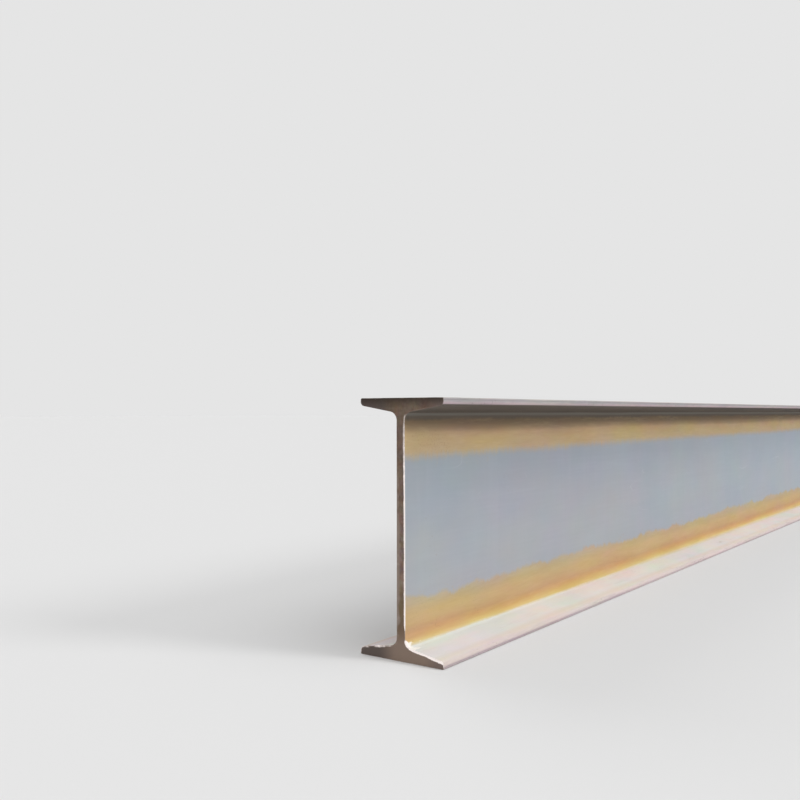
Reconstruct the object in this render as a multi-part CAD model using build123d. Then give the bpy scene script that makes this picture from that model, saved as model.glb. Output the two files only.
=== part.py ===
from build123d import *
import math
import os

# One hot-rolled steel beam with tapered flanges, lying on its lower flange. Millimetres.
# X runs along the beam, Y across the flanges and Z up the web.
# The origin is on the ground, under the middle of the beam.

# Driving dimensions
beam_length = 6000.0
beam_height = 360.0
flange_width = 140.0
web_thickness = 14.0
# The flange thickness is measured halfway between the web's face and the flange's tip.
flange_thickness = 15.8
# The inner faces rise towards the web by this share of the distance from the tip.
flange_slope = 1 / 6
# Rolled curves: where the flange meets the web, at the tip's inner edge, and at its outer edge.
root_radius = 12.0
toe_radius = 6.0
corner_radius = 2.0


def inner_face_height(distance_from_web):
    """Height of the lower flange's sloping inner face at a distance from the middle of the web."""
    middle_of_overhang = (flange_width / 2 + web_thickness / 2) / 2
    return flange_thickness + flange_slope * (middle_of_overhang - distance_from_web)


def tip_edge_radii():
    """Toe and corner radii, kept small enough to leave a flat strip on the flange's tip."""
    tip_thickness = inner_face_height(flange_width / 2)
    turn_at_toe = math.pi / 2 - math.atan(flange_slope)
    strip_used = toe_radius * math.tan(turn_at_toe / 2) + corner_radius
    share = min(1.0, 0.9 * tip_thickness / strip_used)
    return toe_radius * share, corner_radius * share


def quarter_section():
    """One quarter of the rolled section, drawn in the YZ plane with its rolled curves."""
    web_face = web_thickness / 2
    tip = flange_width / 2
    middle = beam_height / 2
    toe, corner = tip_edge_radii()
    outline = Polyline(
        (0, 0),
        (tip, 0),
        (tip, inner_face_height(tip)),
        (web_face, inner_face_height(web_face)),
        (web_face, middle),
        (0, middle),
        close=True,
    )
    quarter = make_face(outline)
    rolled_edges = (
        (tip, 0, corner),
        (tip, inner_face_height(tip), toe),
        (web_face, inner_face_height(web_face), root_radius),
    )
    for across, up, radius in rolled_edges:
        edge = quarter.vertices().sort_by_distance((across, up, 0))[0]
        quarter = fillet(edge, radius)
    return quarter


def beam_section():
    """The whole section: the quarter mirrored about the web and about mid height."""
    quarter = quarter_section()
    lower_half = quarter + mirror(quarter, about=Plane.YZ)
    mid_height = Plane(origin=(0, beam_height / 2, 0), z_dir=(0, 1, 0))
    return lower_half + mirror(lower_half, about=mid_height)


def beam():
    """The rolled beam, cut square at both ends."""
    near_end = Plane(origin=(-beam_length / 2, 0, 0), x_dir=(0, 1, 0), z_dir=(1, 0, 0))
    return extrude(near_end * beam_section(), amount=beam_length)


os.makedirs("parts", exist_ok=True)
export_step(beam(), "parts/beam.step")
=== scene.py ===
"""Looks of a hot-rolled steel beam with tapered flanges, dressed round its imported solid.

The beam lies on its lower flange, along X. Its cut end at low X faces the camera's left,
and its front is the side at low Y.
"""

import logging
import math
from collections.abc import Callable, Iterator
from contextlib import contextmanager
from dataclasses import astuple, dataclass, field
from enum import Enum
from functools import cache, cached_property

import bmesh
import bpy
import numpy as np
from mathutils import Matrix, Vector, noise


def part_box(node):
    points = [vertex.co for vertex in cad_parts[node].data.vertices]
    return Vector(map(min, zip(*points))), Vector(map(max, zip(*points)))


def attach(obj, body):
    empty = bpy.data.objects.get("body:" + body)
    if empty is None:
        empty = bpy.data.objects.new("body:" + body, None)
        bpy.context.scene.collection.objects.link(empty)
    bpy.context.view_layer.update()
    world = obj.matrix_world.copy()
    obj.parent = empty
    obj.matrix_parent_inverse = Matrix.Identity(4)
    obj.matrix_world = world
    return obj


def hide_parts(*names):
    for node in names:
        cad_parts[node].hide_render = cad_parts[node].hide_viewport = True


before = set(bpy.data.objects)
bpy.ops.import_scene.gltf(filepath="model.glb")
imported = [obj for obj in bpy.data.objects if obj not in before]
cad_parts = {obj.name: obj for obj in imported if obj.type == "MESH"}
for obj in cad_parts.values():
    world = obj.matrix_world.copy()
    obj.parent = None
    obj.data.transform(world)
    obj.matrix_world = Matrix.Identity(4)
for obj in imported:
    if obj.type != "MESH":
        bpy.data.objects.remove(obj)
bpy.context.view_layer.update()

log = logging.getLogger("beam")

NODE = "beam"
BODY = "root"
MM = 0.001
GIRTH = "girth"
BURR = "burr"
BARE = "bare_metal"
# A face looks along an axis where its normal's part along it is above this.
FACING = 0.9

Colour = tuple[float, float, float]
Stops = tuple[tuple[float, Colour], ...]
Socket = bpy.types.NodeSocket
Feed = float | tuple[float, ...] | Socket


class Part(Enum):
    """What is picked in an open mesh."""

    EDGES = "edges"
    FACES = "faces"


class Finish(Enum):
    """The beam's finishes, by material slot on its mesh."""

    ROLLED = 0
    SAWN = 1


@dataclass(frozen=True)
class Burr:
    """The burr on one stretch of a cut's edge, with its lengths in mm.

    Attributes:
        bare: How bright it is, 0 to 1.
        face_reach: How far it covers the cut face.
        side_reach: How far it covers the long face.
        lift: How far it bends the edge out.
        wear: How far the edge is worn back along the beam.
        ragged: How unevenly it is broken off, 0 to 1.
    """

    bare: float
    face_reach: float
    side_reach: float
    lift: float
    wear: float
    ragged: float


class Rim(Enum):
    """Stretches of a cut's edge, each with its burr."""

    # The lower brightness on the back and upper stretches is partly painted shade.
    WEB_FRONT = Burr(1.0, 2.0, 0.6, 0.25, 0.6, 0.15)
    WEB_UPPER = Burr(0.48, 2.9, 0.1, -0.5, 0.4, 0.15)
    WEB_BACK = Burr(0.24, 4.4, 0.4, 0.15, 0.3, 0.5)
    FLANGE_FRONT = Burr(1.0, 2.45, 1.0, 0.2, 0.6, 0.3)
    TOE_FRONT = Burr(0.75, 4.6, 0.3, 0.0, 0.5, 0.15)
    FLANGE_BACK = Burr(0.52, 1.6, 3.0, 0.9, 0.2, 1.0)
    UPPER_FLANGE = Burr(0.08, 1.0, 0.4, 0.1, 0.2, 0.5)
    TIP = Burr(0.5, 1.2, 0.3, -0.1, 0.3, 0.4)
    OUTER = Burr(0.1, 0.7, 0.8, -0.15, 0.3, 0.6)


def linear(red: int, green: int, blue: int) -> Colour:
    """Turns a colour as a screen shows it, 0 to 255, into linear light."""
    shown = (value / 255 for value in (red, green, blue))
    return tuple(v / 12.92 if v <= 0.04045 else ((v + 0.055) / 1.055) ** 2.4 for v in shown)


RUST_FLECK = linear(138, 102, 70)
DUST = linear(228, 223, 220)
TIP_PALE = linear(213, 198, 191)
SCUFF = linear(104, 97, 92)


def ease(value: float, low: float, high: float) -> float:
    """Rises smoothly from 0 at one limit to 1 at the other."""
    share = min(max((value - low) / (high - low), 0.0), 1.0)
    return share * share * (3 - 2 * share)


@contextmanager
def editing(piece: bpy.types.Object) -> Iterator[None]:
    """Opens one piece in edit mode with nothing selected, and closes it afterwards.

    Args:
        piece: The mesh object to work on.
    """
    bpy.ops.object.select_all(action="DESELECT")
    piece.select_set(True)
    bpy.context.view_layer.objects.active = piece
    bpy.ops.object.mode_set(mode="EDIT")
    bpy.ops.mesh.select_all(action="DESELECT")
    yield
    bpy.ops.object.mode_set(mode="OBJECT")


def pick(piece: bpy.types.Object, part: Part, test: Callable[..., bool]) -> None:
    """Selects the faces or the edges of an open piece that pass a test.

    Args:
        piece: The mesh object in edit mode.
        part: Which of the two.
        test: Takes a face or an edge.
    """
    bpy.context.tool_settings.mesh_select_mode = (False, part is Part.EDGES, part is Part.FACES)
    bpy.ops.mesh.select_all(action="DESELECT")
    shape = bmesh.from_edit_mesh(piece.data)
    for found in [found for found in getattr(shape, part.value) if test(found)]:
        found.select_set(True)
    bmesh.update_edit_mesh(piece.data)


def read_places(mesh: bpy.types.Mesh) -> np.ndarray:
    """Reads where a mesh's vertices lie.

    Args:
        mesh: The mesh.

    Returns:
        Their places as rows of X, Y and Z.
    """
    places = np.empty(len(mesh.vertices) * 3)
    mesh.vertices.foreach_get("co", places)
    return places.reshape(-1, 3)


def store(mesh: bpy.types.Mesh, name: str, values: np.ndarray) -> None:
    """Stores a number on each vertex under a name, for the finishes to read."""
    attribute = mesh.attributes.new(name, "FLOAT", "POINT")
    attribute.data.foreach_set("value", values.astype(np.float32))


def on_side(vertex: bmesh.types.BMVert) -> bool:
    """Whether a vertex lies on the beam's long faces, not inside a cut face."""
    return any(abs(face.normal.x) < 0.5 for face in vertex.link_faces)


@dataclass(frozen=True)
class Section:
    """The rolled section in metres, as the mill states it.

    Attributes:
        height: Over both flanges.
        width: Of the flanges.
        web: Thickness of the web.
        flange: Thickness of a flange halfway along its overhang.
        slope: Rise of the flanges' inner faces towards the web.
        root_radius: Rounding between web and flange.
        toe_radius: Rounding of a flange tip's inner edge.
        corner_radius: Rounding of a flange tip's outer edge.
        seam_height: Height on the tips of the line where the rolls met.
    """

    height: float
    width: float
    web: float = 14 * MM
    flange: float = 15.8 * MM
    slope: float = 1 / 6
    root_radius: float = 12 * MM
    toe_radius: float = 6 * MM
    corner_radius: float = 2 * MM
    seam_height: float = 3.1 * MM

    # Points on each rounding of the outline.
    ARC_POINTS = 9

    def inner_face(self, across: float) -> float:
        """Height of the lower flange's inner face at a distance from the web's middle."""
        return self.flange + self.slope * ((self.width + self.web) / 4 - across)

    def setback(self, radius: float) -> float:
        """How far a rounding between an inner face and an upright face reaches along both."""
        turn = math.pi / 2 - math.atan(self.slope)
        return radius * math.tan(turn / 2)

    @property
    def root_height(self) -> float:
        """Height at which the lower root rounding meets the web."""
        return self.inner_face(self.web / 2) + self.setback(self.root_radius)

    @property
    def toe_height(self) -> float:
        """Height at which the lower toe rounding meets the flat of the tip."""
        return self.inner_face(self.width / 2) - self.setback(self.toe_radius)

    def outline(self) -> np.ndarray:
        """Line round a lower quarter, from mid web to the middle of the outer face.

        Returns:
            Points as rows of distance from the web's middle and height.
        """
        lean = math.atan(self.slope)
        web_face, tip = self.web / 2, self.width / 2
        root, toe, corner = self.root_radius, self.toe_radius, self.corner_radius
        arcs = (
            (web_face + root, self.root_height, root, math.pi, 1.5 * math.pi - lean),
            (tip - toe, self.toe_height, toe, math.pi / 2 - lean, 0.0),
            (tip - corner, corner, corner, 0.0, -math.pi / 2),
        )
        points = [(web_face, self.height / 2)]
        for across, up, radius, first, last in arcs:
            for angle in np.linspace(first, last, self.ARC_POINTS):
                points.append((across + radius * math.cos(angle), up + radius * math.sin(angle)))
        points.append((0.0, 0.0))
        return np.array(points)

    def trace(self, across: np.ndarray, up: np.ndarray) -> tuple[np.ndarray, np.ndarray, np.ndarray]:
        """Finds the outline's nearest point to each place.

        Args:
            across: Distances from the middle of the web, less than 0 at the front.
            up: Heights.

        Returns:
            The points' girths, which are distances round the section from mid web and less than 0
            on the upper half; how far each place is from its point; and the points, as rows of
            across and up.
        """
        line = self.outline()
        steps = np.diff(line, axis=0)
        lengths = np.hypot(steps[:, 0], steps[:, 1])
        starts = np.concatenate(([0.0], np.cumsum(lengths)[:-1]))
        places = np.stack((np.abs(across), np.minimum(up, self.height - up)), axis=1)
        offset = places[:, None, :] - line[None, :-1, :]
        share = np.clip((offset * steps).sum(2) / np.maximum(lengths**2, 1e-12), 0, 1)
        away = offset - share[:, :, None] * steps
        gaps = np.hypot(away[:, :, 0], away[:, :, 1])
        nearest = gaps.argmin(1)
        rows = np.arange(len(places))
        found = starts[nearest] + share[rows, nearest] * lengths[nearest]
        points = line[nearest] + share[rows, nearest, None] * steps[nearest]
        upper = up > self.height / 2
        points[:, 0] *= np.where(across < 0, -1, 1)
        points[:, 1] = np.where(upper, self.height - points[:, 1], points[:, 1])
        return np.where(upper, -found, found), gaps[rows, nearest], points

    def girth(self, across: float, up: float) -> float:
        """The girth of one place on the lower half."""
        return float(self.trace(np.array([across]), np.array([up]))[0][0])

    def tip_girth(self, up: float) -> float:
        """The girth of a height on the lower flange's tip."""
        return self.girth(self.width / 2, up)


@dataclass
class RolledBeam:
    """One rolled length: web, flanges, rounded long edges and sawn ends.

    Attributes:
        section: The rolled section.
        length: Along X, in metres.
        grid: Spacing of the mesh round the section.
        layer: Spacing of the mesh through a flange's thickness.
        bay: Spacing of the mesh along the middle of the beam.
        rim_width: Width of the band round a cut face that is worn back towards its edge.
        blob_face: How much further the burr covers the cut face at the front root, where it ran together.
        blob_side: How much further it covers the long faces there.
        seam_depth: Depth of the seam along the flange tips.
        swell: How far rolled faces fall short of the true form.
        saw_relief: Unevenness of the cut faces.
        piece: The mesh object, from its first plate on.
    """

    section: Section
    length: float
    grid: float = 4 * MM
    layer: float = 3 * MM
    bay: float = 50 * MM
    rim_width: float = 1.8 * MM
    blob_face: float = 0.8 * MM
    blob_side: float = 5.5 * MM
    seam_depth: float = 0.2 * MM
    swell: float = 0.5 * MM
    saw_relief: float = 0.35 * MM
    piece: bpy.types.Object = field(init=False)

    # Distances from a cut at which the mesh is divided, closest at the burr.
    END_STEPS = tuple(step * MM for step in (0.6, 1.3, 2.0, 3.0, 5, 8, 14, 26))
    # Edges nearer to a cut than this are divided again round the section.
    FINE_REACH = 2.4 * MM
    # The cuts either side of the seam, and the seam itself, from its height.
    SEAM_STEPS = tuple(step * MM for step in (-0.6, 0.0, 0.6))
    # Size of the clouds in which the rolled faces fall short.
    SWELL_SIZE = 0.22
    # The burr on the web is weaker below the first of these heights and whole above the second.
    BURR_FADES = (0.038, 0.055)
    # The noises that break the burr up, by scale and strength.
    BURR_NOISES = ((42, 0.8), (110, 0.9), (330, 0.5))
    # Reach over which one stretch's burr turns into the next one's.
    MERGE = 2.5 * MM
    # The web's upper burr starts this far above mid web, and turns over this reach.
    UPPER_START = 62 * MM
    WEB_MERGE = 50 * MM
    # Half the stretch over which the lower flange's front burr turns into that of the toe.
    TOE_MERGE = 11 * MM
    # How far the front burr goes on round the lower toe.
    TOE_ROUND = 9 * MM
    # How far round the section the blob at the front root reaches, and how much brighter it is.
    BLOB_REACH = 8 * MM
    BLOB_SHINE = 0.4
    # Wear and burr are shaped within this distance of a cut, and the worn edge within the second.
    CUT_ZONE = 9 * MM
    WEAR_REACH = 3 * MM
    # Vertices further than this from the section's outline lie inside a cut face.
    INSIDE = 0.9 * MM
    # Scale of the saw's marks on the cut faces.
    SAW_MARKS = 90
    # A vertex with no burr near it stores this.
    NO_BURR = -2.0
    # The bake map: each cut face's left, low X first, then their bottom and size.
    CUT_LEFTS = (0.01, 0.51)
    CUT_BOTTOM = 0.004
    CUT_SIZE = (0.48, 0.1)
    # Each strip's bottom, low X first, then their left, their size, and the share of the length that
    # lies within each distance of the cut.
    STRIP_BOTTOMS = (0.115, 0.56)
    STRIP_LEFT = 0.003
    STRIP_SIZE = (0.994, 0.436)
    STRIP_STEPS = (0.0, 3 * MM, 26 * MM)
    STRIP_SHARES = (0.0, 0.006, 0.022, 1.0)
    # Edges flatter than this, in degrees, are shaded smooth.
    SMOOTH = 32

    def build(self) -> bpy.types.Object:
        """Models the beam and gives it its finishes.

        Returns:
            The finished piece, at the origin.
        """
        self._web_plate()
        self._spread_flanges()
        self._round_long_edges()
        self._band_the_cuts()
        self._divide()
        self._press_seams()
        self._refine_rims()
        self._uneven_rolling()
        self._shape_cuts()
        self._lay_out_bake_map(self._mark_girth())
        self._assign_finishes()
        bpy.ops.object.shade_smooth_by_angle(angle=math.radians(self.SMOOTH))
        return self.piece

    def _web_plate(self) -> None:
        """Adds the web as a plate of the full height."""
        bpy.ops.object.select_all(action="DESELECT")
        bpy.ops.mesh.primitive_cube_add(size=1.0, location=(0, 0, self.section.height / 2))
        self.piece = bpy.context.object
        self.piece.name = self.piece.data.name = "rolled_beam"
        self.piece.scale = (self.length, self.section.web, self.section.height)
        bpy.ops.object.transform_apply(location=True, rotation=True, scale=True)

    def _spread_flanges(self) -> None:
        """Draws the flanges out of the web's edges and thins them towards their tips."""
        section, grounds = self.section, (0.0, self.section.height)
        at_web = section.inner_face(section.web / 2)
        at_tip = section.inner_face(section.width / 2)
        overhang = (section.width - section.web) / 2
        with editing(self.piece):
            for level in (at_web, section.height - at_web):
                self._cut(Vector((0, 0, level)), Vector((0, 0, 1)))
            for side in (-1, 1):
                pick(self.piece, Part.FACES, lambda face: face.normal.y * side > FACING and any(
                    abs(face.calc_center_median().z - ground) < at_web for ground in grounds))
                bpy.ops.mesh.extrude_region_move(TRANSFORM_OT_translate={"value": (0, side * overhang, 0)})
            for ground in grounds:
                pick(self.piece, Part.FACES, lambda face: abs(face.normal.y) > FACING and (
                    abs(face.calc_center_median().y) > section.width / 4
                    and abs(face.calc_center_median().z - ground) < at_web))
                bpy.ops.transform.resize(value=(1, 1, at_tip / at_web), center_override=(0, 0, ground))
            bpy.ops.mesh.select_all(action="SELECT")
            bpy.ops.mesh.dissolve_limited(angle_limit=math.radians(0.5))

    def _round_long_edges(self) -> None:
        """Rounds the roots, the toes and the outer corners along the whole beam."""
        section = self.section
        web_face, tip = section.web / 2, section.width / 2
        roundings = (
            (web_face, section.inner_face(web_face), section.setback(section.root_radius), 8),
            (tip, section.inner_face(tip), section.setback(section.toe_radius), 5),
            (tip, 0.0, section.corner_radius, 3),
        )
        with editing(self.piece):
            for across, level, reach, segments in roundings:
                pick(self.piece, Part.EDGES, lambda edge: self._runs_along(edge, across, level))
                bpy.ops.mesh.bevel(offset=reach, offset_type="OFFSET", segments=segments, profile=0.5)

    def _runs_along(self, edge: bmesh.types.BMEdge, across: float, level: float) -> bool:
        """Whether an edge runs the beam's way at a distance from the web's middle and a height.

        Args:
            edge: The edge.
            across: The distance, on either side.
            level: The height above the ground, or below the top.

        Returns:
            Whether it does.
        """
        near = 0.02 * MM
        ends = [vertex.co for vertex in edge.verts]
        placed = all(
            abs(abs(end.y) - across) < near
            and min(abs(end.z - level), abs(self.section.height - level - end.z)) < near
            for end in ends
        )
        return placed and abs(ends[0].x - ends[1].x) > near

    def _band_the_cuts(self) -> None:
        """Insets both cut faces, for the bare band along their edges."""
        with editing(self.piece):
            pick(self.piece, Part.FACES, lambda face: abs(face.normal.x) > FACING)
            bpy.ops.mesh.inset(thickness=self.rim_width, use_even_offset=True)

    def _cut(self, place: Vector, normal: Vector) -> None:
        """Divides everything in an open piece along a plane."""
        bpy.ops.mesh.select_all(action="SELECT")
        bpy.ops.mesh.bisect(plane_co=place, plane_no=normal, threshold=0.05 * MM)

    def _divide(self) -> None:
        """Divides the beam round its section and along its length."""
        section, line = self.section, self.section.outline()
        fillet_end, toe_start = line[section.ARC_POINTS, 0], line[section.ARC_POINTS + 1, 0]
        rows = self._spaced(section.root_height, section.height - section.root_height, self.grid)
        columns = self._spaced(fillet_end, toe_start, self.grid)
        layers = self._spaced(0, section.inner_face(section.web / 2), self.layer)
        low = [*layers, *(section.seam_height + step for step in self.SEAM_STEPS)]
        with editing(self.piece):
            for level in (*rows, *low, *(section.height - level for level in low)):
                self._cut(Vector((0, 0, level)), Vector((0, 0, 1)))
            for across in (0.0, section.web / 4, *columns):
                for side in (-1, 1) if across else (1,):
                    self._cut(Vector((0, side * across, 0)), Vector((0, 1, 0)))
            for place in self._stations():
                self._cut(Vector((place, 0, 0)), Vector((1, 0, 0)))

    @staticmethod
    def _spaced(first: float, last: float, gap: float) -> list[float]:
        """Places between two limits, evenly spaced by about a gap."""
        return list(np.linspace(first, last, max(round((last - first) / gap), 1) + 1)[1:-1])

    def _stations(self) -> list[float]:
        """Finds where along X the mesh is divided, dense at the cut ends.

        Returns:
            The places.
        """
        half = self.length / 2
        ends = [side * (half - step) for side in (-1, 1) for step in self.END_STEPS]
        return self._spaced(-half, half, self.bay) + ends

    def _press_seams(self) -> None:
        """Presses the shallow seam along each flange tip."""
        section, tip = self.section, self.section.width / 2
        with editing(self.piece):
            pick(self.piece, Part.EDGES, lambda edge: self._runs_along(edge, tip, section.seam_height))
            bpy.ops.transform.resize(value=(1, 1 - self.seam_depth / tip, 1), center_override=(0, 0, 0))

    def _refine_rims(self) -> None:
        """Divides the edges round the section once more next to the cuts, where the burr stands."""
        with editing(self.piece):
            pick(self.piece, Part.EDGES, self._follows_rim)
            bpy.ops.mesh.subdivide(number_cuts=2, ngon=False)

    def _follows_rim(self, edge: bmesh.types.BMEdge) -> bool:
        """Whether an edge runs round the section near a cut, on a long face or along the bare band.

        Args:
            edge: The edge.

        Returns:
            Whether it does.
        """
        first, second = edge.verts
        back = self.length / 2 - abs(first.co.x)
        if abs(first.co.x - second.co.x) > 0.01 * MM or back > self.FINE_REACH:
            return False
        if on_side(first) and on_side(second):
            return True
        if on_side(first) or on_side(second):
            return False
        return any(any(on_side(vertex) for vertex in face.verts) for face in edge.link_faces)

    def _uneven_rolling(self) -> None:
        """Lets the rolled faces fall slightly short of the true form, as hot rolling leaves them."""
        clouds = bpy.data.textures.new("rolling_unevenness", "CLOUDS")
        clouds.noise_scale = self.SWELL_SIZE
        uneven = self.piece.modifiers.new("rolling_unevenness", "DISPLACE")
        uneven.texture = clouds
        uneven.texture_coords = "LOCAL"
        uneven.mid_level = 1.0
        uneven.strength = self.swell
        bpy.ops.object.modifier_apply(modifier=uneven.name)

    def _shape_cuts(self) -> None:
        """Wears the cuts' edges, bends out a ragged burr and roughens the cut faces.

        Stores on each vertex how far inside the burr it lies, 1 on the edge itself and less than 0
        outside, and how bright the burr is there.
        """
        half, mesh = self.length / 2, self.piece.data
        places = read_places(mesh)
        girths, gaps, points = self.section.trace(places[:, 1], places[:, 2])
        back = half - np.abs(places[:, 0])
        burr, bare = np.full(len(places), self.NO_BURR), np.zeros(len(places))
        for index in np.flatnonzero(back < self.CUT_ZONE):
            inwards = -math.copysign(1.0, places[index, 0])
            edge = Vector((-inwards * half, *points[index]))
            made = self._burr(girths[index], edge.y < 0)
            strength = self._burr_strength(edge, made.ragged)
            blob = self._blob_share(girths[index]) if edge.y < 0 else 0.0
            bare[index] = made.bare * strength + self.BLOB_SHINE * blob
            if gaps[index] > self.INSIDE:
                reach = made.face_reach * MM * strength + self.blob_face * blob
                burr[index] = 1 - gaps[index] / reach
                rough = 0.5 + 0.5 * noise.fractal(Vector(places[index]) * self.SAW_MARKS, 0.9, 2.1, 4)
                places[index, 0] += inwards * self.saw_relief * min(max(rough, 0.0), 1.0)
                continue
            reach = made.side_reach * MM * strength + self.blob_side * blob
            burr[index] = 1 - back[index] / reach
            outward = Vector((0, *mesh.vertices[index].normal.yz)).normalized()
            faded = max(reach, 1.0 * MM)
            share = strength * (1 - ease(back[index], 0.3 * faded, faded))
            places[index] += outward * made.lift * MM * share
            worn = max(1 - back[index] / self.WEAR_REACH, 0.0)
            places[index, 0] += inwards * made.wear * MM * strength * worn
        mesh.vertices.foreach_set("co", places.ravel())
        mesh.update()
        store(mesh, BURR, np.maximum(burr, self.NO_BURR))
        store(mesh, BARE, bare)

    def _burr(self, girth: float, front: bool) -> Burr:
        """The burr at a distance round the section, drawn together where two stretches meet.

        Args:
            girth: The distance from mid web, less than 0 on the upper half.
            front: Whether it lies on the beam's front half.

        Returns:
            The burr.
        """
        burrs = [astuple(self._rim(girth, share, front).value) for share in np.linspace(-1, 1, 9)]
        return Burr(*np.mean(burrs, axis=0))

    def _rim(self, girth: float, share: float, front: bool) -> Rim:
        """The stretch of a cut's edge at or next to a distance round the section.

        Args:
            girth: The distance from mid web, less than 0 on the upper half.
            share: How far next to it, as a share of the reach over which stretches merge there.
            front: Whether it lies on the beam's front half.

        Returns:
            The stretch.
        """
        root, toe, corner = self._rim_limits
        size = abs(girth) + share * self.MERGE
        if size > corner:
            return Rim.OUTER
        lower_front = front and girth > 0
        if size > toe + self.TOE_ROUND * lower_front:
            return Rim.TIP if girth > 0 else Rim.UPPER_FLANGE
        if size < root:
            if girth + share * self.WEB_MERGE < -self.UPPER_START:
                return Rim.WEB_UPPER if front else Rim.UPPER_FLANGE
            return Rim.WEB_FRONT if front else Rim.WEB_BACK
        if girth < 0:
            return Rim.UPPER_FLANGE
        if not front:
            return Rim.FLANGE_BACK
        by_toe = abs(girth) + share * self.TOE_MERGE > toe - self.TOE_MERGE
        return Rim.TOE_FRONT if by_toe else Rim.FLANGE_FRONT

    @cached_property
    def _rim_limits(self) -> tuple[float, float, float]:
        """Distances round the section from mid web to mid root rounding, toe rounding and outer corner.

        Returns:
            The three distances.
        """
        section = self.section
        web_face, toe_start = section.web / 2, section.width / 2 - 1.5 * section.toe_radius
        return (
            section.girth(web_face + 3 * MM, section.inner_face(web_face) + 3 * MM),
            section.girth(toe_start, section.inner_face(toe_start)),
            section.tip_girth(section.corner_radius),
        )

    def _burr_strength(self, place: Vector, ragged: float) -> float:
        """How much of the burr is left at a place, with gaps where it broke off.

        Args:
            place: The place on the cut's edge.
            ragged: How unevenly the burr is broken off there.

        Returns:
            A share of the full burr, sometimes above 1.
        """
        uneven = sum(strength * noise.noise(place * scale) for scale, strength in self.BURR_NOISES)
        low, full = self.BURR_FADES
        weak = 0.5 * (1 - ease(place.z, low, full)) if abs(place.y) < self.section.web else 0.0
        return min(max(1.0 + ragged * uneven - weak, 0.15), 1.4)

    def _blob_share(self, girth: float) -> float:
        """How much of the blob at the front root there is at a distance round the section."""
        return 1 - ease(abs(girth - self._rim_limits[0]), 0.5 * self.BLOB_REACH, self.BLOB_REACH)

    def _mark_girth(self) -> np.ndarray:
        """Stores the distance round the section on each vertex, for the bands along the beam.

        Returns:
            The distances.
        """
        places = read_places(self.piece.data)
        girths = self.section.trace(places[:, 1], places[:, 2])[0]
        store(self.piece.data, GIRTH, girths)
        return girths

    def _lay_out_bake_map(self, girths: np.ndarray) -> None:
        """Unrolls the long faces in two strips, one to each half of the beam, and packs the cut faces below.

        Args:
            girths: Each vertex's distance round the section.
        """
        mesh, section, half = self.piece.data, self.section, self.length / 2
        places = read_places(mesh)
        turns = np.abs(girths) / section.girth(0.0, 0.0)
        spots = np.empty((len(mesh.loops), 2))
        for face in mesh.polygons:
            corners, vertices = list(face.loop_indices), list(face.vertices)
            points = places[vertices]
            centre = points.mean(0)
            far = int(centre[0] >= 0)
            if abs(face.normal.x) > 0.7:
                across = points[:, 1] / section.width + 0.5
                spots[corners, 0] = self.CUT_LEFTS[far] + self.CUT_SIZE[0] * points[:, 2] / section.height
                spots[corners, 1] = self.CUT_BOTTOM + self.CUT_SIZE[1] * across
                continue
            back = half - np.abs(points[:, 0])
            along = np.interp(back, (*self.STRIP_STEPS, half), self.STRIP_SHARES)
            upper, front = centre[2] > section.height / 2, centre[1] < 0
            turn = (3 if front else 1) + (turns[vertices] if upper != front else -turns[vertices])
            spots[corners, 0] = self.STRIP_LEFT + self.STRIP_SIZE[0] * along
            spots[corners, 1] = self.STRIP_BOTTOMS[far] + self.STRIP_SIZE[1] * turn / 4
        layer = mesh.uv_layers.new(name="OFBake")
        layer.data.foreach_set("uv", spots.astype(np.float32).ravel())

    def _assign_finishes(self) -> None:
        """Gives every face its finish: sawn on the cuts and rolled elsewhere."""
        finishes = {
            Finish.ROLLED: RolledSkin(self.section, self.length),
            Finish.SAWN: SawnFace(),
        }
        mesh, half = self.piece.data, self.length / 2
        for finish in Finish:
            mesh.materials.append(finishes[finish].material())
        for face in mesh.polygons:
            cut = abs(face.normal.x) > 0.7 and half - abs(face.center.x) < 2 * MM
            face.material_index = (Finish.SAWN if cut else Finish.ROLLED).value


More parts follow.
